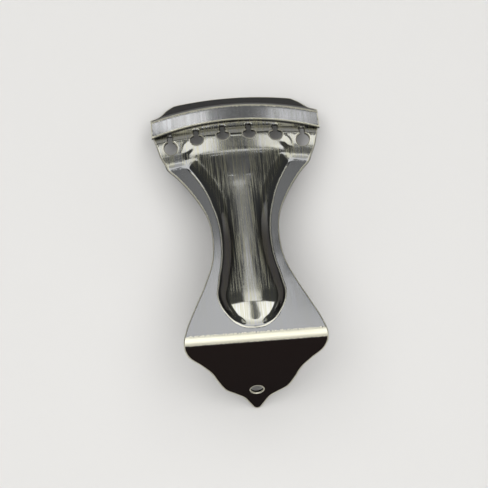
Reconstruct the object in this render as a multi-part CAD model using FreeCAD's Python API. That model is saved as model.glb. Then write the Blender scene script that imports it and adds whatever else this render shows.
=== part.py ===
"""Pressed sheet-metal guitar tailpiece: a stamped plate and the string bar lapped on its front.

The sheet is drawn in a flat frame first: u across, v from the tail bend to the string end,
w up from the plate's top face. The finished pieces are then laid down at rest, on the flange
tip and the lip's lower edge, with +Y towards the string end and +Z up.
"""
import FreeCAD, Part
import math
import os

# Sheet metal
sheet = 1.2
bar_sheet = 1.2
bend_radius = 2.0
cut_overrun = 4.0

# Plan of the plate: half widths, and lengths along v from the bend line
tail_half_width = 26.6
waist_half_width = 12.8
string_half_width = 32.9
waist_place = 43.5
bow_centre_place = 13.3

# Raised form: the string end's level, the tongue and its crown
level = 2.0
tongue_half_width = 20.2
tongue_waist_half_width = 9.1
tongue_start = 4.8
bulb_half_width = 12.4
bulb_place = 19.5
tongue_crown = 3.9
tongue_rim_break = 0.5

# String end, turned about the ridge's bow centre: shoulder step, ridge and front margin
ridge_place = 91.6
ridge_bow_radius = 160.0
ridge_height = 2.0
ridge_front_run = 4.6
ridge_back_run = 5.2
ridge_crest_radius = 2.5
ridge_foot_radius = 3.5
shoulder_run = 10.0
shoulder_edge_radius = 0.9
shoulder_corner_radius = 2.5

# Keyholes, on an arc about the bow centre that meets the ridge's crest
keyhole_count = 6
string_spread = 52.0
keyhole_radius = 2.55
slot_width = 1.8
slot_reach = 6.2
keyhole_arc_radius = ridge_place - bow_centre_place
slot_end_radius = keyhole_arc_radius + slot_reach

# Tail flange
bend_angle = 85.0
flange_length = 46.4
flange_tip_radius = 1.6
flange_tip_lean = 25.0
end_hole_place = 33.6
end_hole_radius = 2.45

# String bar, clear of the slots, and the plate's front edge under it
bar_width = 7.0
bar_slot_margin = 1.5
bar_overhang = 1.5
bar_end_proud = 0.3
bar_inner_radius = slot_end_radius + bar_slot_margin
bar_bend_radius = bar_inner_radius + bar_width
front_edge_radius = bar_bend_radius - bar_overhang
bar_half_width = string_half_width + bar_end_proud
lip_angle = 32.0
lip_length = 9.0
lip_end_run = 10.0
lip_end_height = 1.4

# Outlines, as shares of the sizes that they follow
flare_shares = [(1.0, -0.045), (1.0, 0.0), (0.955, 0.115), (0.801, 0.345), (0.635, 0.575),
                (0.511, 0.805)]
waist_out_shares = [(1.094, 0.32), (1.414, 0.6), (1.906, 0.885)]
wing_shares = [(0.839, 0.0), (0.9, 0.21), (0.954, 0.46), (0.988, 0.69)]
bulb_shares = [(0.266, 0.027), (0.548, 0.177), (0.742, 0.381), (0.895, 0.605), (0.984, 0.83)]
tongue_in_shares = [(0.944, 0.188), (0.887, 0.354), (0.815, 0.521), (0.758, 0.729)]
tongue_out_shares = [(0.036, 0.204), (0.108, 0.34), (0.198, 0.449), (0.324, 0.585),
                     (0.505, 0.721), (0.739, 0.858)]
flange_shares = [(1.0, 0.05), (1.0, 0.07), (0.947, 0.198), (0.774, 0.332), (0.635, 0.453),
                 (0.549, 0.582), (0.432, 0.711), (0.312, 0.767), (0.195, 0.825), (0.113, 0.912)]
crown_shares = [(-0.21, -0.77), (0.256, 0.282), (0.462, 0.641), (0.718, 0.872), (1.026, 0.974),
                (1.641, 0.974), (2.231, 0.949), (2.872, 0.974), (3.385, 1.0), (3.846, 0.872),
                (4.103, 0.744), (4.308, 0.674), (4.615, 0.62), (5.026, 0.56)]
crown_sag_shares = [1.0, 1.0, 1.0, 1.0, 1.0, 1.128, 1.333, 1.09, 0.854, 0.446, 0.148, 0.128,
                    0.154, 0.154]
crown_span_shares = [1.129, 1.129, 1.129, 1.129, 1.129, 1.129, 1.129, 1.129, 1.29, 1.613,
                     1.935, 1.935, 1.935, 1.935]
lip_end_shares = [(0.0, 0.0), (0.27, 0.16), (0.43, 0.34), (0.62, 0.67), (1.0, 1.1)]

X = FreeCAD.Vector(1, 0, 0)
Z = FreeCAD.Vector(0, 0, 1)


def at(u, v, w=0.0):
    return FreeCAD.Vector(u, v, w)


def curve(points):
    """A smooth edge through points."""
    line = Part.BSplineCurve()
    line.interpolate(points)
    return line.toShape()


def mirrored(points):
    return [at(-p.x, p.y, p.z) for p in reversed(points)]


def straight(start, end):
    return Part.makeLine(start, end)


def arc_about(centre_place, radius, half_width):
    """An arc edge about a point on the centre line, from +u to -u."""
    side = centre_place + math.sqrt(radius ** 2 - half_width ** 2)
    ends = [at(half_width, side), at(-half_width, side)]
    middle = at(0, centre_place + radius)
    return Part.Arc(ends[0], middle, ends[1]).toShape(), ends


def prism(edges, low, high):
    face = Part.Face(Part.Wire(Part.__sortEdges__(edges)))
    face.translate(at(0, 0, low))
    return face.extrude(at(0, 0, high - low))


def ridge_centre():
    return ridge_place - ridge_bow_radius


def shoulder_at(u, inset=0.0):
    """Where the shoulder step stands, u away from the centre line."""
    radius = ridge_bow_radius - shoulder_run + inset
    return ridge_centre() + math.sqrt(radius ** 2 - u ** 2)


def rounded(points, radii):
    """Edges of a closed outline whose corners are rounded by the given radii."""
    edges = []
    count = len(points)
    ends = []
    for i in range(count):
        before = (points[i - 1] - points[i]).normalize()
        after = (points[(i + 1) % count] - points[i]).normalize()
        half = before.getAngle(after) / 2
        reach = radii[i] / math.tan(half)
        start, end = points[i] + before * reach, points[i] + after * reach
        ends.append((start, end))
        if radii[i] > 0:
            middle = (before + after).normalize() * (radii[i] / math.sin(half) - radii[i])
            edges.append(Part.Arc(start, points[i] + middle, end).toShape())
    for i in range(count):
        edges.append(straight(ends[i][1], ends[(i + 1) % count][0]))
    return Part.__sortEdges__(edges)


def plate_side():
    """Right-hand outline of the plate, from the tail bend to the front edge."""
    points = [at(tail_half_width * a, waist_place * b) for a, b in flare_shares]
    points.append(at(waist_half_width, waist_place))
    shoulder = shoulder_at(string_half_width * wing_shares[0][0])
    run = shoulder - waist_place
    points += [at(waist_half_width * a, waist_place + run * b) for a, b in waist_out_shares]
    front = bow_centre_place + math.sqrt(front_edge_radius ** 2 - string_half_width ** 2)
    run = front - shoulder
    points += [at(string_half_width * a, shoulder + run * b) for a, b in wing_shares]
    points.append(at(string_half_width, front))
    return points


def plate_trim():
    """Prism of the plate's plan, taking in the tail bend."""
    right = plate_side()
    arc, ends = arc_about(bow_centre_place, front_edge_radius, string_half_width)
    back = bend_radius + cut_overrun / 2
    corner_right = at(tail_half_width, -back)
    corner_left = at(-tail_half_width, -back)
    left = mirrored(right)
    edges = [straight(corner_right, right[0]), curve(right), arc, curve(left)]
    edges += [straight(left[-1], corner_left), straight(corner_left, corner_right)]
    return prism(edges, -bend_radius - sheet, level + ridge_height + cut_overrun)


def flange_frame():
    """Placement that turns the plan frame into the flange's: v runs up the flange."""
    turn = FreeCAD.Rotation(X, bend_angle)
    return FreeCAD.Placement(at(0, 0), turn)


def flange_trim():
    """Prism of the flange's ogee outline, across its sheet."""
    right = [at(tail_half_width * a, -flange_length * b) for a, b in flange_shares]
    lean = math.radians(flange_tip_lean)
    tip_side = flange_tip_radius * math.cos(lean)
    tip_place = flange_length - flange_tip_radius * (1 - math.sin(lean))
    right.append(at(tip_side, -tip_place))
    left = mirrored(right)
    tip = Part.Arc(right[-1], at(0, -flange_length), left[0]).toShape()
    edges = [curve(right), tip, curve(left), straight(left[-1], right[0])]
    shape = prism(edges, -sheet - cut_overrun, cut_overrun)
    shape.Placement = flange_frame()
    return shape


def flat_sheet():
    """The sheet before forming: plate, tail bend and flange, wider than the outline."""
    turn = math.radians(bend_angle)
    set_back = bend_radius * math.tan(turn / 2)
    down = at(0, -math.cos(turn), -math.sin(turn))
    out = at(0, -math.sin(turn), math.cos(turn))
    centre = at(0, set_back, -bend_radius)
    front = at(0, bow_centre_place + front_edge_radius + cut_overrun)
    end = down * (flange_length + cut_overrun)
    half = out + Z
    half.normalize()
    inner = bend_radius - sheet
    outer_arc = Part.Arc(at(0, set_back), centre + half * bend_radius, down * set_back)
    low = centre + Z * inner
    low_end = centre + out * inner
    inner_arc = Part.Arc(low_end, centre + half * inner, low)
    edges = [straight(front, at(0, set_back)), outer_arc.toShape(), straight(down * set_back, end)]
    edges += [straight(end, end - out * sheet), straight(end - out * sheet, low_end)]
    edges += [inner_arc.toShape(), straight(low, front - Z * sheet)]
    edges.append(straight(front - Z * sheet, front))
    width = tail_half_width + string_half_width
    face = Part.Face(Part.Wire(edges))
    face.translate(at(-width / 2 - cut_overrun, 0))
    return face.extrude(X * (width + 2 * cut_overrun))


def tongue_side(inset):
    """Right-hand outline of the tongue, from its tail end to the shoulder."""
    run = bulb_place - tongue_start
    points = [at(0, tongue_start)]
    points += [at(bulb_half_width * a, tongue_start + run * b) for a, b in bulb_shares]
    points.append(at(bulb_half_width, bulb_place))
    run = waist_place - bulb_place
    points += [at(bulb_half_width * a, bulb_place + run * b) for a, b in tongue_in_shares]
    points.append(at(tongue_waist_half_width, waist_place))
    corner = shoulder_at(tongue_half_width)
    run = corner - waist_place
    reach = tongue_half_width - tongue_waist_half_width
    points += [at(tongue_waist_half_width + reach * a, waist_place + run * b)
               for a, b in tongue_out_shares]
    points.append(at(tongue_half_width, corner))
    aims = [at(1, 0)]
    aims += [points[i + 1] - points[i - 1] for i in range(1, len(points) - 1)]
    aims.append(points[-1] - points[-2])
    return [p - at(a.y, -a.x).normalize() * inset for p, a in zip(points, aims)]


def tongue_prism(inset, low, high):
    """Prism of the tongue's plan, run on under the string end."""
    points = tongue_side(inset)
    points = mirrored(points[1:]) + points
    right = at(points[-1].x, ridge_place)
    left = at(points[0].x, ridge_place)
    edges = [curve(points), straight(points[-1], right), straight(right, left)]
    edges.append(straight(left, points[0]))
    return prism(edges, low, high)


def under_crown(drop):
    """Everything below the tongue's crowned top: a loft through arcs across the tongue."""
    wires = []
    low = -tongue_crown * 3
    for place, sag, span in zip(crown_shares, crown_sag_shares, crown_span_shares):
        v = bulb_place * place[0]
        top = tongue_crown * place[1] - drop
        half = bulb_half_width * span
        side = top - tongue_crown * sag
        right, left = at(half, v, side), at(-half, v, side)
        arc = Part.Arc(left, at(0, v, top), right).toShape()
        edges = [arc, straight(right, at(half, v, low))]
        edges += [straight(at(half, v, low), at(-half, v, low)), straight(at(-half, v, low), left)]
        wires.append(Part.Wire(edges))
    return Part.makeLoft(wires, True, False)


def string_end(drop, low):
    """Shoulder step, ridge and front margin, turned about the ridge's bow centre."""
    top = level - drop
    crest = ridge_bow_radius
    back = ridge_bow_radius - shoulder_run + drop
    front = ridge_bow_radius + ridge_front_run + front_edge_radius / 4
    stations = [(back, low), (back, top), (crest - ridge_back_run, top)]
    stations += [(crest, top + ridge_height), (crest + ridge_front_run, top)]
    stations += [(front, top), (front, low)]
    radii = [0.0, max(shoulder_edge_radius - drop, 0.0), ridge_foot_radius + drop]
    radii += [max(ridge_crest_radius - drop, 0.0), ridge_foot_radius + drop, 0.0, 0.0]
    points = [at(0, ridge_centre() + r, w) for r, w in stations]
    face = Part.Face(Part.Wire(rounded(points, radii)))
    sweep = 2 * math.degrees(math.asin((string_half_width + cut_overrun) / back))
    face.rotate(at(0, ridge_centre()), Z, -sweep / 2)
    return face.revolve(at(0, ridge_centre()), Z, sweep)


def shoulder_corner(drop, low):
    """Web that rounds the plan corner between the tongue's wall and the shoulder step."""
    side = tongue_side(drop)
    corner = at(side[-1].x, shoulder_at(side[-1].x, drop))
    back = (side[-2] - side[-1]).normalize()
    along = at(1, -corner.x / (corner.y - ridge_centre())).normalize()
    half = back.getAngle(along) / 2
    radius = shoulder_corner_radius + drop
    out = (back + along).normalize()
    reach = radius / math.tan(half)
    tuck = out * (shoulder_edge_radius / 4)
    ends = [corner + along * reach - tuck, corner + back * reach - tuck]
    middle = corner + out * (radius / math.sin(half) - radius)
    inside = corner - out * radius
    edges = [Part.Arc(ends[0], middle, ends[1]).toShape()]
    edges += [straight(ends[1], inside), straight(inside, ends[0])]
    web = prism(edges, low, level - drop)
    return [web, web.mirror(at(0, 0), X)]


def wraps(edge):
    """Whether an edge runs round the tongue, down both sides."""
    return edge.BoundBox.YLength > waist_place and edge.BoundBox.XLength > tongue_half_width


def raised_form(drop, low):
    """The pressed-up form: tongue, string end and ridge, filled down to a low plane."""
    tongue = tongue_prism(drop, low, level + tongue_crown).common(under_crown(drop)).Solids[0]
    if tongue_rim_break > drop:
        rims = [e for e in tongue.Edges if e.BoundBox.ZMin > low + sheet / 2 and wraps(e)]
        tongue = tongue.makeChamfer(tongue_rim_break, rims)
    return tongue.fuse([string_end(drop, low)] + shoulder_corner(drop, low)).removeSplitter()


def stamped_plate():
    """Sheet with its raised form, trimmed to the outlines and pierced."""
    body = flat_sheet().fuse(raised_form(0.0, -sheet))
    body = body.cut(raised_form(sheet, -sheet - cut_overrun))
    body = body.common(plate_trim().fuse(flange_trim()))
    body = body.cut(keyholes()).cut(end_hole())
    return body.removeSplitter()


def keyholes():
    """The six keyholes: a round hole with a slot towards the bar."""
    cuts = []
    low = -sheet - cut_overrun
    high = level + ridge_height + cut_overrun
    for i in range(keyhole_count):
        u = string_spread * (i / (keyhole_count - 1) - 0.5)
        v = bow_centre_place + math.sqrt(keyhole_arc_radius ** 2 - u ** 2)
        end = bow_centre_place + math.sqrt(slot_end_radius ** 2 - u ** 2)
        cuts.append(Part.makeCylinder(keyhole_radius, high - low, at(u, v, low)))
        slot = Part.makeBox(slot_width, end - v, high - low)
        slot.translate(at(u - slot_width / 2, v, low))
        cuts.append(slot)
    return cuts[0].fuse(cuts[1:])


def end_hole():
    hole = Part.makeCylinder(end_hole_radius, sheet + 2 * cut_overrun, at(0, -end_hole_place))
    hole.translate(at(0, 0, -sheet - cut_overrun))
    hole.Placement = flange_frame().multiply(hole.Placement)
    return hole


def bar_profile():
    """Section of the string bar in the plane u = 0: lapped top, bend and slanted lip."""
    turn = math.radians(lip_angle)
    top = level + bar_sheet
    apex = at(0, bow_centre_place + bar_bend_radius, top)
    set_back = bend_radius * math.tan(turn / 2)
    along = at(0, math.cos(turn), -math.sin(turn))
    out = at(0, math.sin(turn), math.cos(turn))
    first = apex - at(0, set_back)
    centre = first - Z * bend_radius
    half = out + Z
    half.normalize()
    inner = bend_radius - bar_sheet
    end = apex + along * (lip_length + cut_overrun)
    rear = at(0, bow_centre_place + bar_inner_radius, top)
    outer_arc = Part.Arc(first, centre + half * bend_radius, apex + along * set_back)
    inner_arc = Part.Arc(centre + out * inner, centre + half * inner, centre + Z * inner)
    edges = [straight(rear, first), outer_arc.toShape()]
    edges += [straight(apex + along * set_back, end), straight(end, end - out * bar_sheet)]
    edges += [straight(end - out * bar_sheet, centre + out * inner), inner_arc.toShape()]
    edges += [straight(centre + Z * inner, rear - Z * bar_sheet)]
    edges.append(straight(rear - Z * bar_sheet, rear))
    return Part.Face(Part.Wire(edges))


def lip_end_trim():
    """What is cut off one end of the lip, seen in plan: its drawn-in shoulder."""
    corner = bow_centre_place + math.sqrt(bar_bend_radius ** 2 - bar_half_width ** 2)
    points = [at(bar_half_width + cut_overrun, corner + lip_end_height)]
    points += [at(bar_half_width - lip_end_run * a, corner + lip_end_height + lip_end_run * b)
               for a, b in lip_end_shares]
    far = at(bar_half_width + cut_overrun, points[-1].y)
    edges = [straight(points[0], points[1]), curve(points[1:]), straight(points[-1], far)]
    edges.append(straight(far, points[0]))
    return prism(edges, -lip_length - cut_overrun, level)


def string_bar():
    """Curved strip turned about the bow centre and cut square at its ends."""
    sweep = 2 * math.degrees(math.asin((bar_half_width + cut_overrun) / bar_inner_radius))
    face = bar_profile()
    face.rotate(at(0, bow_centre_place), Z, -sweep / 2)
    body = face.revolve(at(0, bow_centre_place), Z, sweep)
    tall = lip_length + level + bar_sheet + 2 * cut_overrun
    box = Part.makeBox(2 * bar_half_width, bar_bend_radius + 2 * lip_length, tall)
    box.translate(at(-bar_half_width, bow_centre_place, -lip_length - cut_overrun))
    body = body.common(box)
    right = lip_end_trim()
    left = right.mirror(at(0, 0), X)
    return body.cut(right).cut(left)


def rest_plane():
    """Slope and height of the plane under the lip's edge and the flange tip."""
    turn = math.radians(lip_angle)
    reach = bow_centre_place + bar_bend_radius + lip_length * math.cos(turn)
    lip = at(0, reach, level + bar_sheet - lip_length * math.sin(turn))
    turn = math.radians(bend_angle)
    tip = at(0, -flange_length * math.cos(turn), -flange_length * math.sin(turn))
    tip = tip + at(0, math.sin(turn), -math.cos(turn)) * sheet
    return math.degrees(math.atan2(lip.z - tip.z, lip.y - tip.y)), tip


def lay_down(shapes):
    """Turn the pieces to their rest pose, and cut the lip's edge level with the table."""
    slope, tip = rest_plane()
    for shape in shapes:
        shape.translate(-tip)
        shape.rotate(at(0, 0), X, -slope)
    wide = 2 * (bar_half_width + cut_overrun)
    long = 2 * (bar_bend_radius + bow_centre_place)
    floor = Part.makeBox(wide, long, lip_length + cut_overrun)
    floor.translate(at(-wide / 2, 0, -lip_length - cut_overrun))
    plate, bar = shapes
    bar = bar.cut(floor)
    box = plate.optimalBoundingBox()
    box.add(bar.optimalBoundingBox())
    move = at(0, -(box.YMin + box.YMax) / 2)
    plate.translate(move)
    bar.translate(move)
    return plate, bar


def main():
    os.makedirs("parts", exist_ok=True)
    plate, bar = lay_down([stamped_plate(), string_bar()])
    for name, shape in (("stamped_plate", plate), ("string_bar", bar)):
        box = shape.optimalBoundingBox()
        print(name, shape.isValid(), len(shape.Solids), round(shape.Volume, 1), box)
        shape.exportStep("parts/" + name + ".step")


if __name__ == "__main__":
    main()
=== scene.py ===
"""Guitar tailpiece: a pressed plate with a raised tongue and keyholes, and a bar for the strings.

The sheet is laid out flat first, in millimetres: u across, v along it from the tail bend to
the string end, w up from its top face. Then the end flange is folded down and the piece is
laid in its resting place, in metres.
"""

import math

import bmesh
import bpy
import numpy as np
from bpy.props import FloatProperty, FloatVectorProperty, IntProperty, PointerProperty
from mathutils import Matrix, Vector
from mathutils.geometry import delaunay_2d_cdt


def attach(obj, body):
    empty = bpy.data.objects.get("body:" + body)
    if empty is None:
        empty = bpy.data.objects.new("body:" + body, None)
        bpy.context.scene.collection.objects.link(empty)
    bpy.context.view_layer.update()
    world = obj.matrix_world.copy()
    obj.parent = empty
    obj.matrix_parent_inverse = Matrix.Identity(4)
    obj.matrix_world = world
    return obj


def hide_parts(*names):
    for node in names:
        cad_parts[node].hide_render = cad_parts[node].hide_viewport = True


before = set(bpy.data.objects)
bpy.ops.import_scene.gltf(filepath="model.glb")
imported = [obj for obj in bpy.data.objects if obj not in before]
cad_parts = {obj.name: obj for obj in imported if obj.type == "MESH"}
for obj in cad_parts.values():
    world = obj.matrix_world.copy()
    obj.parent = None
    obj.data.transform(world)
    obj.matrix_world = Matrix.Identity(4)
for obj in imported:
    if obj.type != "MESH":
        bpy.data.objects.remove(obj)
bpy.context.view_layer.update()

bl_info = {
    "name": "Guitar tailpiece",
    "version": (1, 0, 0),
    "blender": (4, 5, 0),
    "location": "3D View > Sidebar > Tailpiece",
    "description": "Models a pressed sheet-metal guitar tailpiece and its string bar",
    "category": "Object",
}

MM = 0.001

# Sheet metal
SHEET = 1.2
BEND_RADIUS = 2.0

# Plan of the plate's right-hand side, (u, v), and of the flange's, (u, way down from the bend)
FLARE = [(26.6, -2.0), (26.6, 0.0), (25.4, 5.0), (21.3, 15.0), (16.9, 25.0), (13.6, 35.0),
         (12.8, 43.5), (14.0, 54.9), (18.1, 64.8), (24.4, 74.9), (27.9, 79.2), (29.9, 83.1),
         (31.5, 88.0), (32.5, 92.6), (32.9, 98.68)]
FLANGE = [(1.45, 45.48), (3.0, 42.3), (5.2, 38.3), (8.3, 35.6), (11.5, 33.0), (14.6, 27.0),
          (16.9, 21.0), (20.6, 15.4), (25.2, 9.2), (26.6, 3.25), (26.6, 2.7)]
FLANGE_TIP = 46.4
TIP_ROUND = (0.8, 0.25)
END_HOLE_PLACE = 33.6

# String end: the ridge, and about the bow's centre the keyholes, the bar and the front edge
LEVEL = 2.0
RIDGE_PLACE = 91.6
RIDGE_RADIUS = 160.0
RIDGE_CENTRE = RIDGE_PLACE - RIDGE_RADIUS
RIDGE_BACK, RIDGE_FRONT = 4.4, 4.6
SHOULDER_RUN = 10.0
SLOT_REACH = 6.2
BAR_GAP, BAR_WIDTH, BAR_OVERHANG = 1.5, 7.0, 1.5
BOW_CENTRE = 13.3
KEYHOLE_ARC = RIDGE_PLACE - BOW_CENTRE
SLOT_END_ARC = KEYHOLE_ARC + SLOT_REACH
BAR_INNER = SLOT_END_ARC + BAR_GAP
BAR_BEND = BAR_INNER + BAR_WIDTH
FRONT_RADIUS = BAR_BEND - BAR_OVERHANG

# Lip of the bar, and in plan, from the bar's end inwards, the shoulders cut off its ends
LIP_ANGLE = math.radians(32.0)
LIP_LENGTH = 9.0
LIP_END = [(0.0, 0.0), (2.7, 1.6), (4.3, 3.4), (6.2, 6.7), (10.0, 11.0)]
LIP_END_START = 101.57

# Side of the tongue, (u, v), run on up past the ridge
TONGUE = [(0.0, 4.8), (3.3, 5.2), (6.8, 7.4), (9.2, 10.4), (11.1, 13.7), (12.2, 17.0),
          (12.4, 19.5), (11.7, 24.0), (11.0, 28.0), (10.1, 32.0), (9.4, 37.0), (9.1, 43.5),
          (9.5, 51.0), (10.3, 56.0), (11.3, 60.0), (12.7, 65.0), (14.7, 70.0), (17.3, 75.0),
          (20.2, 80.2), (21.2, 83.5), (21.2, 88.0), (20.6, 93.0), (20.0, 110.0)]

# Crown of the tongue: place along it, height of its middle, how far its sides fall, and how
# far out from the middle they are when they do
CROWN = [(-4.1, -3.0, 3.4, 14.0), (5.0, 1.3, 3.4, 14.0), (9.0, 2.95, 3.4, 14.0),
         (11.0, 3.45, 3.4, 14.0), (12.4, 3.66, 3.4, 14.0), (15.5, 3.75, 3.4, 14.0),
         (20.0, 3.8, 3.4, 14.0), (32.0, 3.8, 3.4, 14.0), (43.5, 3.8, 3.4, 14.0),
         (56.0, 3.8, 3.3, 14.0), (62.0, 3.81, 3.2, 15.0), (66.0, 3.88, 3.1, 16.5),
         (70.0, 3.99, 3.0, 18.0), (71.2, 3.985, 2.95, 18.6), (72.0, 3.95, 2.9, 19.0),
         (75.0, 3.8, 2.5, 20.0), (79.0, 3.52, 1.8, 22.0), (82.0, 3.3, 1.2, 23.0),
         (83.2, 3.28, 1.0, 24.0), (84.4, 3.4, 0.8, 24.0), (88.0, 3.87, 0.8, 24.0),
         (91.6, 4.34, 0.8, 24.0), (96.0, 4.9, 0.8, 24.0)]

# Walls of the raised form: where they start outside its lines, how far they run at the side,
# at the tongue's tip and at the shoulders, and the shares of the run that foot and top round
FOOT_OUT = 0.3
SIDE_WALL, TIP_WALL, STEP_WALL = 5.0, 2.3, 1.5
TIP_WALL_END, SIDE_WALL_START = 8.0, 26.0
WALL_FOOT, WALL_TOP = 0.14, 0.45

# How far the slopes of the raised form run into one another where they meet
WALLS_BLEND, RIDGE_BLEND, RIDGE_FOOT_BLEND, CROWN_BLEND, CREST_BLEND = 1.0, 0.5, 0.35, 0.3, 0.6

# Net of the sheet: the row of points inside each edge, how near to the edges that row may
# come, the gap between its points, and how far the other points stay from the edges
EDGE_ROW, EDGE_ROW_LEAST, ROW_GAP, EDGE_CLEAR = 0.5, 0.44, 0.3, 0.8

# Tail bend, and the flange's start once it is laid out flat
BEND_ANGLE = math.radians(85.0)
SET_BACK = BEND_RADIUS * math.tan(BEND_ANGLE / 2)
BEND_RUN = BEND_RADIUS * BEND_ANGLE
FLANGE_ORIGIN = 2 * SET_BACK - BEND_RUN

# Resting place: the part lies on the flange's tip and the lip's lower edge, (v, w)
LIP_FOOT = (BOW_CENTRE + BAR_BEND + LIP_LENGTH * math.cos(LIP_ANGLE),
            LEVEL + SHEET - LIP_LENGTH * math.sin(LIP_ANGLE))
TIP_FOOT = (-FLANGE_TIP * math.cos(BEND_ANGLE) + SHEET * math.sin(BEND_ANGLE),
            -FLANGE_TIP * math.sin(BEND_ANGLE) - SHEET * math.cos(BEND_ANGLE))
REST_RUN = math.dist(LIP_FOOT, TIP_FOOT)
REST_SLOPE = math.atan2(LIP_FOOT[1] - TIP_FOOT[1], LIP_FOOT[0] - TIP_FOOT[0])
REST_SHIFT = -(REST_RUN - SHEET * math.sin(BEND_ANGLE - REST_SLOPE)) / 2


def length(name, text, default):
    return FloatProperty(name=name, description=text, default=default, unit="LENGTH",
                         precision=5)


def colour(name, text, default):
    return FloatVectorProperty(name=name, description=text, default=default, subtype="COLOR",
                               size=3, min=0.0, max=1.0)


class TailpiecePlateSizes(bpy.types.PropertyGroup):
    """Sizes of the stamped plate"""
    sheet: length("Sheet", "Thickness of the sheet", SHEET * MM)
    level: length("Level", "Height of the string end over the plate", LEVEL * MM)
    ridge: length("Ridge", "Height of the ridge over the string end", 0.0021)
    hole: length("Keyhole radius", "Radius of a keyhole's round part", 0.00255)
    slot: length("Slot width", "Width of a keyhole's slot", 0.0018)
    spread: length("String spread", "From the first string to the last", 0.052)
    end_hole: length("End hole radius", "Radius of the flange's hole", 0.00245)
    edge: length("Edge break", "How far the cut edges are broken", 0.00024)
    net: length("Net", "Distance between the points of the sheet's net", 0.0009)
    strings: IntProperty(name="Strings", description="Number of keyholes", default=6, min=1)


class TailpieceBarSizes(bpy.types.PropertyGroup):
    """Sizes of the string bar"""
    sheet: length("Sheet", "Thickness of the strip", SHEET * MM)
    inner: length("Inner radius", "Radius of the strip's rear edge", BAR_INNER * MM)
    bend: length("Bend radius", "Radius at which the lip turns down", BAR_BEND * MM)
    half: length("Half width", "From the middle to an end", 0.0332)
    lip: length("Lip", "Length of the lip before it is cut level", 0.012)
    edge: length("Edge break", "How far the cut edges are broken", 0.00016)
    lip_angle: FloatProperty(name="Lip angle", description="How far the lip turns down",
                             default=LIP_ANGLE, subtype="ANGLE", unit="ROTATION")
    steps: IntProperty(name="Steps", description="Steps of the turned strip", default=88, min=8)


class TailpieceFinish(bpy.types.PropertyGroup):
    """Colours of the plating, its painted highlights and its painted dark"""
    nickel: colour("Plating", "Dark antiqued plating", (0.19, 0.193, 0.2))
    streak: colour("Streaks", "Where brushing went through the dark", (0.31, 0.3, 0.205))
    # Paler plating: partly rubbed high spots, partly a painted highlight on the ridge's tail-side
    # slope by the keyholes and at the tongue's tip.
    wear_and_sheen: colour("Rubbed and highlit plating", "High spots that rubbing made paler", (0.40, 0.40, 0.385))
    # Pale colour of the cut edges, partly burnish and partly a painted highlight, and of the
    # painted highlights on the bends and along the tongue's foot.
    pale: colour("Burnished and highlit", "Cut edges and bends rubbed bright", (0.68, 0.66, 0.54))
    # Near-black colour, painted as a dark reflection on the end flange, the tongue's walls and the
    # bar's lip, as shade on the slot walls, and on the underside.
    painted_dark: colour("Painted dark", "Faces that weren't brushed", (0.012, 0.007, 0.006))


class TailpieceStage(bpy.types.PropertyGroup):
    """Floor, lamps and camera"""
    floor: colour("Floor", "Colour of the floor", (0.67, 0.66, 0.645))
    room: colour("Room", "Colour of the dim room", (0.112, 0.115, 0.112))
    softbox: FloatProperty(name="Softboxes", description="Brightness of the soft lamps",
                           default=2.1, min=0.0)


def smooth_line(points, step):
    """Points about a step apart on a smooth curve through the given ones."""
    p = np.array(points, float)
    chord = np.linalg.norm(np.diff(p, axis=0), axis=1)
    t = np.concatenate([[0.0], np.cumsum(chord)])
    slope = np.gradient(p, t, axis=0, edge_order=1)
    line = []
    for i, run in enumerate(chord):
        count = max(1, int(round(run / step)))
        for k in range(count):
            s = k / count
            a = 2 * s ** 3 - 3 * s ** 2 + 1
            b = s ** 3 - 2 * s ** 2 + s
            c = s ** 3 - s ** 2
            bent = b * run * slope[i]
            line.append(a * p[i] + bent + (1 - a) * p[i + 1] + c * run * slope[i + 1])
    line.append(p[-1])
    return np.array(line)


def arc(centre, radius, start, end, step):
    """Points along an arc from one angle to another."""
    count = max(2, int(round(abs(end - start) * radius / step)))
    turn = np.linspace(start, end, count + 1)
    return np.stack([centre[0] + radius * np.cos(turn), centre[1] + radius * np.sin(turn)], 1)


def mirrored(line):
    """The same line on the left-hand side, run the other way."""
    return line[::-1] * np.array([-1.0, 1.0])


def distance_to(points, loops):
    """Least distance from each point to any of the loops."""
    best = np.full(len(points), np.inf)
    for loop in loops:
        for a, b in zip(loop, np.roll(loop, -1, axis=0)):
            run = b - a
            t = np.clip((points - a) @ run / max(run @ run, 1e-12), 0.0, 1.0)
            gap = points - a - t[:, None] * run
            best = np.minimum(best, np.hypot(gap[:, 0], gap[:, 1]))
    return best


def inside(points, loop):
    """Whether each point lies within a closed loop."""
    odd = np.zeros(len(points), bool)
    x, y = points[:, 0], points[:, 1]
    for a, b in zip(loop, np.roll(loop, -1, axis=0)):
        if a[1] == b[1]:
            continue
        crosses = (a[1] > y) != (b[1] > y)
        odd ^= crosses & (x < (b[0] - a[0]) * (y - a[1]) / (b[1] - a[1]) + a[0])
    return odd


def ease(x, low, high):
    """Rises smoothly from 0 at low to 1 at high."""
    t = np.clip((x - low) / (high - low), 0.0, 1.0)
    return t * t * (3 - 2 * t)


def band(x, rise, fall):
    """Rises over the first run and falls again over the second, each a low and a high end."""
    return ease(x, *rise) * (1 - ease(x, *fall))


def ramp(x, foot, top):
    """Rises from 0 to 1 over 0 to 1, with a rounded foot and top of the given runs."""
    t = np.clip(x, 0.0, 1.0)
    rise = 1 / (1 - (foot + top) / 2)
    up = np.where(t < foot, t * t / (2 * foot), t - foot / 2)
    late = np.maximum(t - 1 + top, 0.0)
    return rise * (up - late * late / (2 * top))


def soft_max(a, b, blend):
    """The greater of two, rounded where they are less than the blend apart."""
    reach = np.maximum(blend - np.abs(a - b), 0.0)
    return np.maximum(a, b) + reach * reach / (4 * blend)


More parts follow.
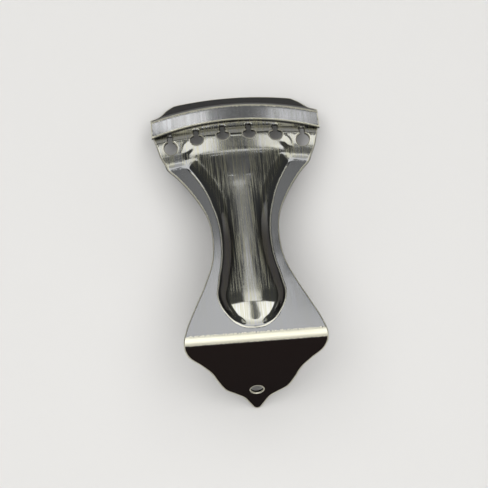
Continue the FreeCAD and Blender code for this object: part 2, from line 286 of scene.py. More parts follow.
def keyhole_places(sizes):
    """Round centre and slot end of each keyhole."""
    spread = sizes.spread / MM
    for i in range(sizes.strings):
        u = spread * (i / max(sizes.strings - 1, 1) - 0.5)
        centre = BOW_CENTRE + math.sqrt(KEYHOLE_ARC ** 2 - u * u)
        end = BOW_CENTRE + math.sqrt(SLOT_END_ARC ** 2 - u * u)
        yield u, centre, end


def sheet_loops(sizes):
    """Outline of the flat sheet, its keyholes and the flange's hole."""
    step = sizes.net / MM * 0.9
    round_step, slot_step = 0.5, 0.7
    flange = [(u, FLANGE_ORIGIN - down) for u, down in FLANGE]
    tip = FLANGE_ORIGIN - FLANGE_TIP
    tip = [(0.0, tip), (TIP_ROUND[0], tip + TIP_ROUND[1])]
    right = np.concatenate([tip, smooth_line(flange, step), smooth_line(FLARE, step)])
    swing = math.asin(FLARE[-1][0] / FRONT_RADIUS)
    front = arc((0.0, BOW_CENTRE), FRONT_RADIUS, math.pi / 2 - swing, math.pi / 2 + swing, step)
    left = mirrored(right[1:])
    loops = [np.concatenate([right, front[1:-1], left])]
    rings, slots = [], []
    radius, half = sizes.hole / MM, sizes.slot / MM / 2
    turn = math.acos(half / radius)
    for u, centre, end in keyhole_places(sizes):
        ring = arc((u, centre), radius, math.pi - turn, 2 * math.pi + turn, round_step)
        rise = radius * math.sin(turn)
        count = max(2, int(round((end - centre - rise) / slot_step)))
        up = np.linspace(centre + rise, end, count + 1)[1:]
        side = np.stack([np.full(count, half), up], 1)
        slot = np.concatenate([side + (u, 0.0), [(u, end)], side[::-1] * (-1, 1) + (u, 0.0)])
        loops.append(np.concatenate([ring, slot]))
        rings.append(ring)
        slots.append(slot)
    place = (0.0, FLANGE_ORIGIN - END_HOLE_PLACE)
    loops.append(arc(place, sizes.end_hole / MM, 0, 2 * math.pi, round_step)[:-1])
    return loops, rings, slots


def tongue_loop(step):
    """Outline of the tongue, closed past the ridge."""
    right = smooth_line(TONGUE, step)
    return np.concatenate([right, mirrored(right[1:])])


def wall_share(points, tongue, inset=0.0):
    """How far up the raised form's wall each point is, and how far it is from the form's lines:
    inside the tongue's side, past the shoulders' step and past the ridge's crest."""
    side = distance_to(points, [tongue])
    side = np.where(inside(points, tongue), side, -side) - inset
    bow = np.hypot(points[:, 0], points[:, 1] - RIDGE_CENTRE)
    step = bow - (RIDGE_RADIUS - SHOULDER_RUN) - inset
    run = TIP_WALL + (SIDE_WALL - TIP_WALL) * ease(points[:, 1], TIP_WALL_END, SIDE_WALL_START)
    wall = soft_max((side + FOOT_OUT) / run, (step + FOOT_OUT) / STEP_WALL, WALLS_BLEND)
    return wall, side, step, bow - RIDGE_RADIUS


def crown_at(v):
    """Height, fall and span of the crown at each place along the tongue."""
    rows, step = np.array(CROWN), 0.2
    lines = [smooth_line(rows[:, [0, column]], step) for column in (1, 2, 3)]
    return [np.interp(v, line[:, 0], line[:, 1]) for line in lines]


def formed_height(points, tongue, sizes, inset=0.0):
    """Height of the pressed-up form over the flat sheet."""
    u, v = points[:, 0], points[:, 1]
    wall, side, step, crest = wall_share(points, tongue, inset)
    top, sag, span = crown_at(v)
    lean = (u / span) ** 2
    crown = top - sag * (0.4 * lean + 0.6 * lean * lean)
    past_crest = soft_max(crest + 0.4, 0 * u, CREST_BLEND)
    crown -= 0.9 * past_crest
    ridge = sizes.ridge / MM
    back, front = ridge * (1 + crest / RIDGE_BACK), ridge * (1 - crest / RIDGE_FRONT)
    slopes = -soft_max(-back, -front, RIDGE_BLEND)
    end = sizes.level / MM + soft_max(slopes + 0.1, 0 * u, RIDGE_FOOT_BLEND)
    before_step = np.maximum(-step - 1.0, 0.0)
    end -= 0.6 * before_step
    wing = ease(step, -1.2, 0.4) * (1 - ease(side, -FOOT_OUT, SIDE_WALL - FOOT_OUT))
    raised = end + (1 - wing) * soft_max(crown - end, 0 * u, CROWN_BLEND)
    return ramp(wall, WALL_FOOT, WALL_TOP) * raised


def spaced(points, kept, gap):
    """Adds those points that stay a gap, of less than a cell's size, away from all kept ones."""
    cells, size = {}, 1.0
    for p in kept:
        cells.setdefault((int(p[0] // size), int(p[1] // size)), []).append(p)
    for p in points:
        i, j = int(p[0] // size), int(p[1] // size)
        near = (q for a in (-1, 0, 1) for b in (-1, 0, 1) for q in cells.get((i + a, j + b), ()))
        if all((q[0] - p[0]) ** 2 + (q[1] - p[1]) ** 2 > gap * gap for q in near):
            cells.setdefault((i, j), []).append(p)
            kept.append(p)
    return kept


def wall_rows(tongue_fine, tongue):
    """Points along the raised form's walls, in rows that follow its foot line."""
    arcs = []
    for side in (1, -1):
        u = np.arange(18.0, 34.0, 0.5) * side
        v = RIDGE_CENTRE + np.sqrt((RIDGE_RADIUS - SHOULDER_RUN) ** 2 - u * u)
        arcs.append(np.stack([u, v], 1))
    rows, probe = [], 0.02
    foot = np.concatenate([tongue_fine] + arcs)
    for target in np.concatenate([np.arange(-0.12, 1.2, 0.1), np.arange(1.3, 1.7, 0.15)]):
        p = foot.copy()
        for _ in range(4):
            here = wall_share(p, tongue)[0]
            east = wall_share(p + (probe, 0.0), tongue)[0] - here
            north = wall_share(p + (0.0, probe), tongue)[0] - here
            slope = np.stack([east, north], 1) / probe
            scale = np.maximum((slope * slope).sum(1), 0.08)
            p = p + slope * ((target - here) / scale)[:, None]
        here = wall_share(p, tongue)[0]
        rows.append(p[np.abs(here - target) < 0.02])
    return rows


def staggered(rows, half, gap):
    """Points a gap apart along straight rows across the sheet, every second row shifted."""
    points = []
    for k, v in enumerate(rows):
        u = np.arange(-half, half + 0.1, gap) + gap * 0.5 * (k % 2)
        points += [(x, v) for x in u]
    return points


def edge_rows(loops, gap):
    """A row of points inside the sheet along each of its edges, the outline and then the holes."""
    rows = []
    for k, loop in enumerate(loops):
        along = np.roll(loop, -1, axis=0) - np.roll(loop, 1, axis=0)
        along /= np.linalg.norm(along, axis=1)[:, None]
        across = np.stack([-along[:, 1], along[:, 0]], 1)
        inward = inside(loop + across * 0.05, loop)
        if k > 0:
            inward = ~inward
        across = np.where(inward[:, None], across, -across)
        rows.append(loop + across * gap)
    return np.concatenate(rows)


def in_sheet(points, loops):
    """Whether each point lies within the outline and outside the holes."""
    return inside(points, loops[0]) & ~np.any([inside(points, hole) for hole in loops[1:]], axis=0)


def sheet_net(sizes, loops, tongue):
    """Vertices and triangles of the flat sheet's net."""
    gap = sizes.net / MM
    along = edge_rows(loops, EDGE_ROW)
    along = along[distance_to(along, loops) > EDGE_ROW_LEAST]
    kept = spaced([tuple(p) for p in along], [], ROW_GAP)
    walls = []
    for row in wall_rows(tongue_loop(0.5), tongue):
        walls += spaced([tuple(p) for p in row], [], ROW_GAP)
    ridge = []
    for k, crest in enumerate(np.arange(-6.5, 6.1, 0.5)):
        u = np.arange(-33.0, 33.1, gap) + gap * 0.5 * (k % 2)
        v = RIDGE_CENTRE + np.sqrt((RIDGE_RADIUS + crest) ** 2 - u * u)
        ridge += list(zip(u, v))
    bend = staggered(np.linspace(SET_BACK - BEND_RUN, SET_BACK, 7), 27.0, gap)
    fill = staggered(np.arange(-46.0, 105.0, gap * 0.866), 34.0, gap)
    for rows, apart in ((walls, 0.25), (ridge, 0.34), (bend, 0.34), (fill, gap * 0.72)):
        rows = np.array(rows)
        away = distance_to(rows, loops) > EDGE_CLEAR
        kept = spaced([tuple(p) for p in rows[away]], kept, apart)
    kept = np.array(kept)
    kept = kept[in_sheet(kept, loops)]
    coords = [Vector(p) for loop in loops for p in loop] + [Vector(p) for p in kept]
    edges, start = [], 0
    for loop in loops:
        count = len(loop)
        edges += [(start + i, start + (i + 1) % count) for i in range(count)]
        start += count
    found = delaunay_2d_cdt(coords, edges, [], 0, 1e-5)
    verts = np.array([tuple(v) for v in found[0]])
    faces = np.array([tuple(f) for f in found[2]])
    return verts, faces[in_sheet(verts[faces].mean(axis=1), loops)]


def deselect():
    """Leaves edit mode and selects nothing."""
    if bpy.context.object and bpy.context.object.mode != "OBJECT":
        bpy.ops.object.mode_set(mode="OBJECT")
    bpy.ops.object.select_all(action="DESELECT")


def activate(piece):
    """Selects one piece alone."""
    deselect()
    piece.select_set(True)
    bpy.context.view_layer.objects.active = piece


def coords_of(mesh):
    """Places of a mesh's vertices."""
    flat = np.empty(len(mesh.vertices) * 3)
    mesh.vertices.foreach_get("co", flat)
    return flat.reshape(-1, 3)


def set_coords(mesh, coords):
    """Moves a mesh's vertices to the given places."""
    mesh.vertices.foreach_set("co", np.ascontiguousarray(coords, float).ravel())
    mesh.update()


def store(mesh, name, values):
    """Keeps one value per vertex for the materials."""
    layer = mesh.attributes.new(name, "FLOAT", "POINT")
    layer.data.foreach_set("value", np.asarray(values, np.float32))


def store_map(mesh, plan):
    """UV map of the brushing: across the sheet, and along it."""
    layer = mesh.uv_layers.new(name="Sheet")
    corners = np.empty(len(mesh.loops), int)
    mesh.loops.foreach_get("vertex_index", corners)
    layer.data.foreach_set("uv", (plan[corners] / 100.0).astype(np.float32).ravel())


def rest_matrix():
    """From the flat layout in millimetres to the resting place in metres."""
    back = Matrix.Translation((0, -TIP_FOOT[0], -TIP_FOOT[1]))
    turn = Matrix.Rotation(-REST_SLOPE, 4, "X")
    return Matrix.Scale(MM, 4) @ Matrix.Translation((0, REST_SHIFT, 0)) @ turn @ back


def fold(plan, w):
    """Folds the flat sheet: the tail bend and the end flange."""
    along = plan[:, 1]
    turn = np.clip((SET_BACK - along) / BEND_RADIUS, 0.0, BEND_ANGLE)
    past = np.maximum(SET_BACK - BEND_RUN - along, 0.0)
    ahead = np.maximum(along - SET_BACK, 0.0)
    reach = BEND_RADIUS + w
    v = SET_BACK - reach * np.sin(turn) - past * math.cos(BEND_ANGLE) + ahead
    z = -BEND_RADIUS + reach * np.cos(turn) - past * math.sin(BEND_ANGLE)
    return np.stack([plan[:, 0], v, z], 1)


def settle(piece):
    """Smooth shading in which the broad faces keep their own direction."""
    activate(piece)
    bpy.ops.object.shade_smooth()
    weigh = piece.modifiers.new("Face weights", "WEIGHTED_NORMAL")
    weigh.mode = "FACE_AREA"
    weigh.weight = 60
    weigh.use_face_influence = True
    bpy.ops.object.modifier_apply(modifier=weigh.name)


class TAILPIECE_OT_stamped_plate(bpy.types.Operator):
    """Model the stamped plate: sheet, raised form, keyholes and folded end flange"""
    bl_idname = "tailpiece.stamped_plate"
    bl_label = "Stamped plate"

    def execute(self, context):
        sizes = context.scene.tailpiece_plate
        sheet = sizes.sheet / MM
        loops, rings, slots = sheet_loops(sizes)
        tongue = tongue_loop(1.0)
        piece = self.flat_plate(sizes, sheet, *sheet_net(sizes, loops, tongue))
        mesh = piece.data
        flat = coords_of(mesh)
        plan, w = flat[:, :2].copy(), flat[:, 2]
        top = formed_height(plan, tongue, sizes)
        under = formed_height(plan, tongue, sizes, inset=sheet * 0.95)
        share = np.clip(-w / sheet, 0.0, 1.0)
        height = w + top * (1 - share) + under * share
        set_coords(mesh, fold(plan, height))
        mesh.transform(rest_matrix())
        self.keep_marks(mesh, plan, share, tongue, [loops[0], loops[-1]] + rings, rings, slots)
        store_map(mesh, plan)
        settle(piece)
        mesh.materials.append(plating("plated sheet", context.scene.tailpiece_finish))
        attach(piece, "root")
        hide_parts("stamped_plate")
        return {"FINISHED"}

    def flat_plate(self, sizes, sheet, verts, faces):
        """The flat sheet's net, given its thickness, with its cut edges broken."""
        mesh = bpy.data.meshes.new("plate")
        mesh.from_pydata([(x, y, 0.0) for x, y in verts], [], faces.tolist())
        piece = bpy.data.objects.new("plate", mesh)
        bpy.context.scene.collection.objects.link(piece)
        activate(piece)
        bpy.ops.object.mode_set(mode="EDIT")
        bpy.ops.mesh.select_all(action="SELECT")
        bpy.ops.mesh.extrude_region_move(TRANSFORM_OT_translate={"value": (0, 0, -sheet)})
        bpy.ops.mesh.select_all(action="SELECT")
        bpy.ops.mesh.normals_make_consistent(inside=False)
        bpy.ops.mesh.select_all(action="DESELECT")
        net = bmesh.from_edit_mesh(mesh)
        for edge in net.edges:
            sides = sorted(len(face.verts) for face in edge.link_faces)
            edge.select_set(sides == [3, 4])
        bmesh.update_edit_mesh(mesh)
        bpy.ops.mesh.bevel(offset=sizes.edge / MM, segments=2, profile=0.5, affect="EDGES",
                           clamp_overlap=False, face_strength_mode="ALL")
        bpy.ops.object.mode_set(mode="OBJECT")
        return piece

    def keep_marks(self, mesh, plan, share, tongue, edges, rings, slots):
        """Keeps where the finish changes and where highlights and dark reflections are painted;
        share runs from the top face, 0, to the lower one, 1.
        """
        wall, side, step, crest = wall_share(plan, tongue)
        v = plan[:, 1]
        in_slot = distance_to(plan, slots) < 0.3
        # Distance to the cut edges, painted pale, partly as burnish and partly as a painted
        # highlight of each edge; the slots and the underside get none.
        plain = (in_slot & (distance_to(plan, rings) > 0.2)) | (share > 0.7)
        store(mesh, "rim", np.where(plain, 1.0, distance_to(plan, edges)))
        # Distance to the tongue's foot line, along which a thin painted highlight is laid; near
        # the shoulders it is pushed off, so no highlight is painted there.
        foot = side + FOOT_OUT
        off_line = 5 * np.sign(foot) * ease(step, -3.6, -1.6)
        store(mesh, "foot", foot + off_line)
        store(mesh, "raised", ease(wall, 0.1, 0.6))
        # Paler plating on the ridge's tail-side slope by the keyholes and at the tongue's tip:
        # partly rubbed high spots, partly a painted highlight where the lamps reflect.
        start = -5.0 - 3.5 * ease(side, 0.5, 2.5)
        high = band(crest, (start, start + 2.5), (-0.3, 0.8))
        tip = ease(side, 0.6, 2.4) * (1 - ease(v, 9.0, 22.0))
        store(mesh, "wear_and_sheen", np.maximum(0.45 * high, tip))
        # Painted highlight: a pale ragged line along the tail bend.
        store(mesh, "bend_highlight", band(v, (-2.9, 0.2), (0.5, 4.0)))
        # Painted dark: the underside near black, and painted shade on the slot walls.
        painted_dark_share = np.maximum(ease(share, 0.5, 0.9), in_slot & (share > 0.02))
        # Painted dark reflection on the walls of the tongue, strongest towards its tip and fading
        # towards the ridge.
        up = ease(v, 9.0, 15.0)
        flank = band(wall, (0.03, 0.14), (0.15 + 0.55 * up, 0.3 + 0.85 * up))
        flank *= 1 - ease(step, -3.0, 0.0)
        painted_dark_share = np.maximum(painted_dark_share, (0.8 - 0.7 * ease(v, 42.0, 64.0)) * flank)
        # Painted dark reflection over the whole end flange, with the underside, slot walls and
        # tongue walls above.
        store(mesh, "painted_dark", np.maximum(1 - ease(v, -1.6, -0.6), painted_dark_share))


class TAILPIECE_OT_string_bar(bpy.types.Operator):
    """Model the string bar: a strip turned about the bow's centre, with a slanted lip"""
    bl_idname = "tailpiece.string_bar"
    bl_label = "String bar"

    def execute(self, context):
        sizes = context.scene.tailpiece_bar
        top = context.scene.tailpiece_plate.level / MM + sizes.sheet / MM
        piece = self.strip(sizes, top)
        self.turn(piece, sizes)
        for way in (1, -1):
            self.cut_lip_end(piece, sizes.half / MM, way)
        piece.data.transform(rest_matrix())
        self.cut_level(piece)
        rims = self.break_edges(piece, sizes.edge)
        self.keep_marks(piece.data, sizes, top, rims)
        settle(piece)
        piece.data.materials.append(plating("plated strip", context.scene.tailpiece_finish))
        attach(piece, "root")
        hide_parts("string_bar")
        return {"FINISHED"}

    def strip(self, sizes, top):
        """Section of the strip in the middle of the bar, with its lip turned down."""
        sheet, inner = sizes.sheet / MM, sizes.inner / MM
        set_back = BEND_RADIUS * math.tan(sizes.lip_angle / 2)
        flat_run = sizes.bend / MM - set_back - inner
        flat_end = BOW_CENTRE + inner + flat_run
        deselect()
        bpy.ops.mesh.primitive_grid_add(x_subdivisions=1, y_subdivisions=7, size=1,
                                        location=(0, 0, 0), rotation=(0, 0, 0))
        piece = bpy.context.object
        piece.name = "bar"
        mesh = piece.data
        grid = coords_of(mesh)
        side = np.zeros_like(grid)
        side[:, 1] = BOW_CENTRE + inner + (grid[:, 1] + 0.5) * flat_run
        side[:, 2] = top - sheet / 2 + grid[:, 0] * sheet
        set_coords(mesh, side)
        piece.matrix_world = Matrix()
        activate(piece)
        bpy.ops.object.mode_set(mode="EDIT")
        bpy.ops.mesh.select_all(action="DESELECT")
        net = bmesh.from_edit_mesh(mesh)
        for vert in net.verts:
            vert.select_set(vert.co.y > flat_end - 0.01)
        net.select_flush(True)
        bmesh.update_edit_mesh(mesh)
        bpy.ops.mesh.spin(steps=7, angle=sizes.lip_angle, axis=(1, 0, 0),
                          center=(0, flat_end, top - BEND_RADIUS))
        along = Vector((0, math.cos(sizes.lip_angle), -math.sin(sizes.lip_angle)))
        steps = 6
        for _ in range(steps):
            bpy.ops.mesh.extrude_region_move(
                TRANSFORM_OT_translate={"value": along * (sizes.lip / MM - set_back) / steps})
        bpy.ops.mesh.select_all(action="SELECT")
        bpy.ops.mesh.remove_doubles(threshold=0.001)
        bpy.ops.object.mode_set(mode="OBJECT")
        return piece

    def turn(self, piece, sizes):
        """Turns the section about the bow's centre and cuts the bar's ends square."""
        half, over = sizes.half / MM, 2.0
        sweep = 2 * math.asin((half + over) / (sizes.inner / MM))
        turn = Matrix.Translation((0, BOW_CENTRE, 0)) @ Matrix.Rotation(-sweep / 2, 4, "Z")
        piece.data.transform(turn @ Matrix.Translation((0, -BOW_CENTRE, 0)))
        bpy.ops.object.mode_set(mode="EDIT")
        bpy.ops.mesh.select_all(action="SELECT")
        bpy.ops.mesh.spin(steps=sizes.steps, angle=-sweep, axis=(0, 0, 1),
                          center=(0, BOW_CENTRE, 0))
        for way in (1, -1):
            bpy.ops.mesh.select_all(action="SELECT")
            bpy.ops.mesh.bisect(plane_co=(way * half, 0, 0), plane_no=(way, 0, 0), use_fill=True,
                                clear_outer=True)
        bpy.ops.mesh.select_all(action="SELECT")
        bpy.ops.mesh.remove_doubles(threshold=0.001)
        bpy.ops.mesh.normals_make_consistent(inside=False)
        bpy.ops.object.mode_set(mode="OBJECT")

    def cut_level(self, piece):
        """Cuts the lip level with the floor, at rest."""
        activate(piece)
        bpy.ops.object.mode_set(mode="EDIT")
        bpy.ops.mesh.select_all(action="SELECT")
        bpy.ops.mesh.bisect(plane_co=(0, 0, 0), plane_no=(0, 0, -1), use_fill=True,
                            clear_outer=True)
        bpy.ops.mesh.select_all(action="SELECT")
        bpy.ops.mesh.remove_doubles(threshold=0.00003)

    def break_edges(self, piece, edge_break):
        """Rounds the cut edges, and returns the ends of each as they were."""
        bpy.ops.mesh.select_all(action="DESELECT")
        net = bmesh.from_edit_mesh(piece.data)
        rims = []
        for edge in net.edges:
            sharp = edge.is_manifold and edge.calc_face_angle() > math.radians(38)
            edge.select_set(sharp)
            if sharp:
                rims.append([tuple(v.co) for v in edge.verts])
        bmesh.update_edit_mesh(piece.data)
        bpy.ops.mesh.bevel(offset=edge_break, segments=2, profile=0.5, affect="EDGES",
                           clamp_overlap=True, face_strength_mode="ALL")
        bpy.ops.object.mode_set(mode="OBJECT")
        return rims

    def keep_marks(self, mesh, sizes, top, rims):
        """Keeps where the finish changes, where the bend highlight and the lip's dark reflection
        are painted, and the map of the brushing.
        """
        sheet, bend = sizes.sheet / MM, sizes.bend / MM
        at_rest = coords_of(mesh)
        back = np.array(rest_matrix().inverted())
        flat = at_rest @ back[:3, :3].T + back[:3, 3]
        radius = np.hypot(flat[:, 0], flat[:, 1] - BOW_CENTRE)
        slant = (radius - bend) * math.sin(sizes.lip_angle) + (flat[:, 2] - top) * math.cos(
            sizes.lip_angle)
        over = np.maximum(flat[:, 2] - top, slant)
        rim = self.rim_distance(at_rest, rims) / MM
        # Distance to the cut edges, painted pale, partly as burnish and partly as a painted
        # highlight; the underside gets none.
        store(mesh, "rim", np.where(over < -0.45 * sheet, 1.0, rim))
        store(mesh, "foot", np.full(len(flat), 9.0))
        store(mesh, "raised", np.full(len(flat), 0.1))
        store(mesh, "wear_and_sheen", np.zeros(len(flat)))
        # Painted highlight: a pale line along the bar's bend.
        store(mesh, "bend_highlight", band(radius, (bend - 0.9, bend - 0.1), (bend + 0.1, bend + 0.6)))
        # Painted dark reflection on the lip, and the underside painted near black.
        under = ease(-over, sheet * 0.5, sheet * 0.9)
        store(mesh, "painted_dark", np.maximum(0.8 * ease(radius, bend + 0.3, bend + 0.9), under))
        store_map(mesh, flat[:, :2])

    def cut_lip_end(self, piece, half, way):
        """Cuts the drawn-in shoulder off one end of the lip."""
        line = smooth_line([(half - a, LIP_END_START + b) for a, b in LIP_END], 0.8)
        out = half + 4.0
        line = np.concatenate([[(out, line[0][1])], line, [(out, line[-1][1])]])
        mesh = bpy.data.meshes.new("lip end")
        below, tall = -14.0, 16.0
        mesh.from_pydata([(x * way, y, below) for x, y in line], [], [list(range(len(line)))])
        cutter = bpy.data.objects.new("lip end", mesh)
        bpy.context.scene.collection.objects.link(cutter)
        activate(cutter)
        bpy.ops.object.mode_set(mode="EDIT")
        bpy.ops.mesh.select_all(action="SELECT")
        bpy.ops.mesh.extrude_region_move(TRANSFORM_OT_translate={"value": (0, 0, tall)})
        bpy.ops.mesh.select_all(action="SELECT")
        bpy.ops.mesh.normals_make_consistent(inside=False)
        bpy.ops.object.mode_set(mode="OBJECT")
        activate(piece)
        cut = piece.modifiers.new("Lip end", "BOOLEAN")
        cut.operation = "DIFFERENCE"
        cut.solver = "EXACT"
        cut.object = cutter
        bpy.ops.object.modifier_apply(modifier=cut.name)
        bpy.data.objects.remove(cutter)

    def rim_distance(self, coords, rims):
        """Least distance from each place to any of the edges."""
        best = np.full(len(coords), np.inf)
        for a, b in rims:
            a, run = np.array(a), np.array(b) - np.array(a)
            t = np.clip((coords - a) @ run / max(run @ run, 1e-16), 0.0, 1.0)
            best = np.minimum(best, np.linalg.norm(coords - a - t[:, None] * run, axis=1))
        return best


def brush_marks():
    """Group: long fine marks of the brush, from a sheet map."""
    if "Brush marks" in bpy.data.node_groups:
        return bpy.data.node_groups["Brush marks"]
    group = bpy.data.node_groups.new("Brush marks", "ShaderNodeTree")
    face = group.interface
    face.new_socket("Vector", in_out="INPUT", socket_type="NodeSocketVector")
    for name, default in (("Across", 190.0), ("Along", 4.5), ("Spread", 0.35)):
        socket = face.new_socket(name, in_out="INPUT", socket_type="NodeSocketFloat")
        socket.default_value = default
    face.new_socket("Streaks", in_out="OUTPUT", socket_type="NodeSocketFloat")
    face.new_socket("Fine", in_out="OUTPUT", socket_type="NodeSocketFloat")
    n, link = group.nodes, group.links.new
    start, end = n.new("NodeGroupInput"), n.new("NodeGroupOutput")
    scale = n.new("ShaderNodeCombineXYZ")
    link(start.outputs["Across"], scale.inputs[0])
    link(start.outputs["Along"], scale.inputs[1])
    stretch = n.new("ShaderNodeVectorMath")
    stretch.operation = "MULTIPLY"
    link(start.outputs["Vector"], stretch.inputs[0])
    link(scale.outputs[0], stretch.inputs[1])
    marks = n.new("ShaderNodeTexNoise")
    marks.inputs["Scale"].default_value = 1.0
    marks.inputs["Detail"].default_value = 2.0
    marks.inputs["Roughness"].default_value = 0.6
    link(stretch.outputs[0], marks.inputs["Vector"])
    low = n.new("ShaderNodeMath")
    low.operation = "ADD"
    low.inputs[1].default_value = 0.32
    link(start.outputs["Spread"], low.inputs[0])
    pick = n.new("ShaderNodeMapRange")
    pick.interpolation_type = "SMOOTHSTEP"
    link(marks.outputs[0], pick.inputs["Value"])
    link(start.outputs["Spread"], pick.inputs["From Min"])
    link(low.outputs[0], pick.inputs["From Max"])
    link(pick.outputs[0], end.inputs["Streaks"])
    finer = n.new("ShaderNodeVectorMath")
    finer.operation = "MULTIPLY"
    finer.inputs[1].default_value = (2.7, 1.6, 1.0)
    link(stretch.outputs[0], finer.inputs[0])
    hair = n.new("ShaderNodeTexNoise")
    hair.inputs["Scale"].default_value = 1.0
    hair.inputs["Detail"].default_value = 1.0
    link(finer.outputs[0], hair.inputs["Vector"])
    link(hair.outputs[0], end.inputs["Fine"])
    return group


def plating(name, finish):
    """Dark antiqued plating, brushed along the sheet and lacquered, with pale cut edges that are
    partly burnish and partly painted highlight, painted highlights on its bends and the tongue's
    foot, and painted dark reflections and shade.
    """
    material = bpy.data.materials.new(name)
    material.use_nodes = True
    n, link = material.node_tree.nodes, material.node_tree.links.new
    shader = n["Principled BSDF"]

    def value(operation, a, b=None):
        node = n.new("ShaderNodeMath")
        node.operation = operation
        for socket, item in zip(node.inputs, (a, b)):
            if isinstance(item, (int, float)):
                socket.default_value = item
            elif item is not None:
                link(item, socket)
        return node.outputs[0]

    def between(item, low, high, start=0.0, end=1.0):
        node = n.new("ShaderNodeMapRange")
        node.interpolation_type = "SMOOTHSTEP"
        link(item, node.inputs["Value"])
        limits = (("From Min", low), ("From Max", high), ("To Min", start), ("To Max", end))
        for key, number in limits:
            node.inputs[key].default_value = number
        return node.outputs[0]

    def blend(share, a, b):
        node = n.new("ShaderNodeMix")
        node.data_type = "RGBA"
        link(share, node.inputs["Factor"])
        for socket, item in ((node.inputs[6], a), (node.inputs[7], b)):
            if hasattr(item, "links"):
                link(item, socket)
            else:
                socket.default_value = (*item, 1.0)
        return node.outputs[2]

    def kept(key):
        node = n.new("ShaderNodeAttribute")
        node.attribute_name = key
        return node.outputs["Fac"]

    plan = n.new("ShaderNodeUVMap")
    plan.uv_map = "Sheet"
    marks = n.new("ShaderNodeGroup")
    marks.node_tree = brush_marks()
    link(plan.outputs[0], marks.inputs["Vector"])
    streaks, fine = marks.outputs["Streaks"], marks.outputs["Fine"]
    # The painted dark, and the paler plating that is partly rubbing and partly a painted
    # highlight.
    painted_dark, rubbed_and_sheened = kept("painted_dark"), kept("wear_and_sheen")
    # Share of the brush streaks that show, fewer on the flat sheet than on the raised form.
    wear_and_sheen = value("MULTIPLY", streaks, between(kept("raised"), 0.0, 1.0, 0.12, 1.0))
    tips = value("ADD", value("MULTIPLY", streaks, 0.8), value("MULTIPLY", fine, 0.5))
    # Painted highlight along the bends, made ragged by the brush streaks.
    ragged = value("MULTIPLY", kept("bend_highlight"), value("ADD", tips, 0.5))
    pale = between(ragged, 0.36, 0.5)
    # Cut edges pale, partly burnish and partly a painted highlight.
    edge = between(value("ADD", kept("rim"), value("MULTIPLY", fine, 0.15)), 0.56, 0.38)
    # Painted highlight: a thin pale line along the tongue's foot.
    foot_highlight = between(value("ABSOLUTE", kept("foot")), 0.4, 0.1, 0.0, 0.62)
    # All the pale: painted highlights on the bends and the foot, and the cut edges.
    bright = value("MAXIMUM", value("MAXIMUM", pale, edge), foot_highlight)
    # Paler plating where rubbed and where a highlight is painted.
    base = blend(rubbed_and_sheened, tuple(finish.nickel), tuple(finish.wear_and_sheen))
    base = blend(value("MULTIPLY", wear_and_sheen, 0.75), base, tuple(finish.streak))
    # Painted dark reflection and shade, in a near-black colour.
    base = blend(painted_dark, base, tuple(finish.painted_dark))
    base = blend(bright, base, tuple(finish.pale))
    link(base, shader.inputs["Base Color"])
    shader.inputs["Metallic"].default_value = 1.0
    shader.inputs["Specular Tint"].default_value = (0.3, 0.3, 0.3, 1.0)
    brushed = value("MULTIPLY", wear_and_sheen, between(rubbed_and_sheened, 0.0, 0.4, 0.25, 0.05))
    rough = value("ADD", brushed, 0.07)
    rough = value("MAXIMUM", rough, value("MULTIPLY", bright, 0.5))
    rough = value("MAXIMUM", rough, value("MULTIPLY", painted_dark, 0.22))
    link(rough, shader.inputs["Roughness"])
    # Less coat where painted dark, so those parts keep their painted darkness.
    shine = value("SUBTRACT", 1.0, value("MULTIPLY", painted_dark, 0.85))
    link(shine, shader.inputs["Coat Weight"])
    shader.inputs["Coat Roughness"].default_value = 0.03
    bump = n.new("ShaderNodeBump")
    bump.inputs["Strength"].default_value = 0.08
    bump.inputs["Distance"].default_value = 0.00005
    link(fine, bump.inputs["Height"])
    link(bump.outputs[0], shader.inputs["Normal"])
    return material


# Camera: its place, the directions of its right, up and back, and its lens in millimetres
CAMERA_PLACE = (-0.02775, -0.148463, 0.652683)
CAMERA_AXES = ((0.99645386, -0.08067348, 0.02390578), (0.073157, 0.97102662, 0.22749802),
               (-0.0415662, -0.2249424, 0.97348506))
CAMERA_LENS = 125.05
SENSOR_WIDTH = 36

# Large soft lamps: middle, width and height, brightness share
SOFTBOXES = [("left softbox", (-0.42, 0.35, 1.0), (0.86, 1.4), 1.0),
             ("right softbox", (0.45, 0.33, 1.0), (0.69, 1.35), 1.0),
             ("between", (0.0575, 0.33, 1.0), (0.095, 1.35), 0.05),
             ("near softbox", (0.0, -0.73, 1.0), (1.1, 0.76), 1.0)]

# Panels round the part: bearing from the string end's side, height over the floor, width and
# height, all as seen from the part, in degrees, and brightness share
PANEL_DISTANCE = 1.6
AIM = (0.0, 0.0, 0.03)
PANELS = [("far panel", 3.2, 40.0, 11.0, 4.0, 0.82),
          ("far panel middle", 2.6, 37.3, 6.6, 1.4, 0.82),
          ("far panel low", 2.3, 36.1, 4.6, 1.0, 0.82),
          ("far panel foot", 2.3, 35.2, 3.0, 0.8, 0.6),
          ("far dusk", 3.2, 32.9, 8.4, 3.8, 0.22),
          ("far curtain", 2.9, 26.3, 4.8, 9.4, 0.12),
          ("left glint", -0.4, 29.15, 2.9, 1.0, 2.1),
          ("right glint", 5.9, 29.15, 2.6, 1.0, 1.4),
          ("near panel", 180.0, 24.0, 80.0, 34.0, 0.6)]
FLOOR_SIZE = 8


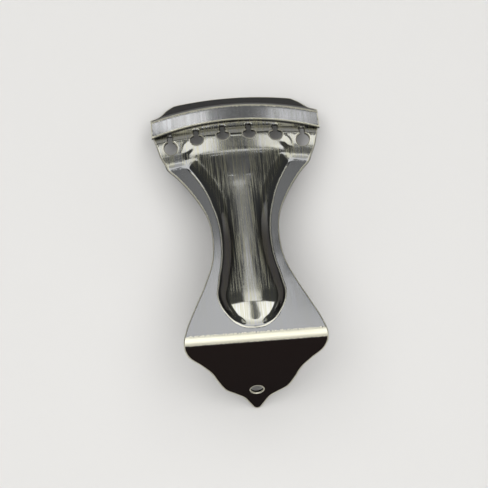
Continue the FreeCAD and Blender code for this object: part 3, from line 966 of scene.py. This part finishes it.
class TAILPIECE_OT_stage(bpy.types.Operator):
    """Set out the floor, the soft lamps and the camera"""
    bl_idname = "tailpiece.stage"
    bl_label = "Stage"

    def execute(self, context):
        stage = context.scene.tailpiece_stage
        deselect()
        bpy.ops.mesh.primitive_plane_add(size=FLOOR_SIZE, location=(0, 0, 0))
        floor = context.object
        floor.name = "floor"
        paint = bpy.data.materials.new("floor")
        paint.use_nodes = True
        shader = paint.node_tree.nodes["Principled BSDF"]
        shader.inputs["Base Color"].default_value = (*stage.floor, 1.0)
        shader.inputs["Roughness"].default_value = 0.7
        floor.data.materials.append(paint)
        for name, place, size, share in SOFTBOXES:
            self.lamp(name, place, (0, 0, 0), size, stage.softbox * share)
        for name, bearing, rise, wide, tall, share in PANELS:
            up = Vector((0, math.cos(math.radians(rise)), math.sin(math.radians(rise))))
            out = Matrix.Rotation(-math.radians(bearing), 3, "Z") @ up
            size = [2 * PANEL_DISTANCE * math.tan(math.radians(a / 2)) for a in (wide, tall)]
            turn = out.to_track_quat("Z", "Y").to_euler()
            self.lamp(name, Vector(AIM) + out * PANEL_DISTANCE, turn, size, stage.softbox * share)
        world = bpy.data.worlds.new("room")
        world.use_nodes = True
        world.node_tree.nodes["Background"].inputs["Color"].default_value = (*stage.room, 1.0)
        context.scene.world = world
        eye = bpy.data.cameras.new("camera")
        eye.sensor_width = SENSOR_WIDTH
        eye.sensor_fit = "HORIZONTAL"
        eye.lens = CAMERA_LENS
        camera = bpy.data.objects.new("camera", eye)
        context.scene.collection.objects.link(camera)
        turn = Matrix(CAMERA_AXES).transposed().to_4x4()
        camera.matrix_world = Matrix.Translation(CAMERA_PLACE) @ turn
        context.scene.camera = camera
        context.scene.view_settings.view_transform = "Standard"
        return {"FINISHED"}

    def lamp(self, name, place, turn, size, brightness):
        """Adds a rectangular soft lamp of a given brightness per area."""
        bpy.ops.object.light_add(type="AREA", location=place, rotation=turn)
        lamp = bpy.context.object
        lamp.name = name
        lamp.data.shape = "RECTANGLE"
        lamp.data.size, lamp.data.size_y = size
        lamp.data.energy = brightness * math.pi * size[0] * size[1]


class TAILPIECE_PT_sidebar(bpy.types.Panel):
    """Sizes, colours and steps of the tailpiece"""
    bl_idname = "TAILPIECE_PT_sidebar"
    bl_label = "Guitar tailpiece"
    bl_space_type = "VIEW_3D"
    bl_region_type = "UI"
    bl_category = "Tailpiece"

    def draw(self, context):
        for key, _ in GROUPS:
            box = self.layout.box()
            group = getattr(context.scene, key)
            for name in group.__annotations__:
                box.prop(group, name)
        for operator in OPERATORS:
            self.layout.operator(operator.bl_idname)


OPERATORS = (TAILPIECE_OT_stamped_plate, TAILPIECE_OT_string_bar, TAILPIECE_OT_stage)
GROUPS = (("tailpiece_plate", TailpiecePlateSizes), ("tailpiece_bar", TailpieceBarSizes),
          ("tailpiece_finish", TailpieceFinish), ("tailpiece_stage", TailpieceStage))


def register():
    """Adds the sizes, steps and panel."""
    for key, group in GROUPS:
        bpy.utils.register_class(group)
        setattr(bpy.types.Scene, key, PointerProperty(type=group))
    for kind in OPERATORS + (TAILPIECE_PT_sidebar,):
        bpy.utils.register_class(kind)


def unregister():
    """Takes them away again."""
    for kind in (TAILPIECE_PT_sidebar,) + OPERATORS[::-1]:
        bpy.utils.unregister_class(kind)
    for key, group in GROUPS[::-1]:
        delattr(bpy.types.Scene, key)
        bpy.utils.unregister_class(group)


def main():
    """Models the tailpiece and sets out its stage."""
    register()
    bpy.ops.tailpiece.stamped_plate()
    bpy.ops.tailpiece.string_bar()
    bpy.ops.tailpiece.stage()


if __name__ == "__main__":
    main()
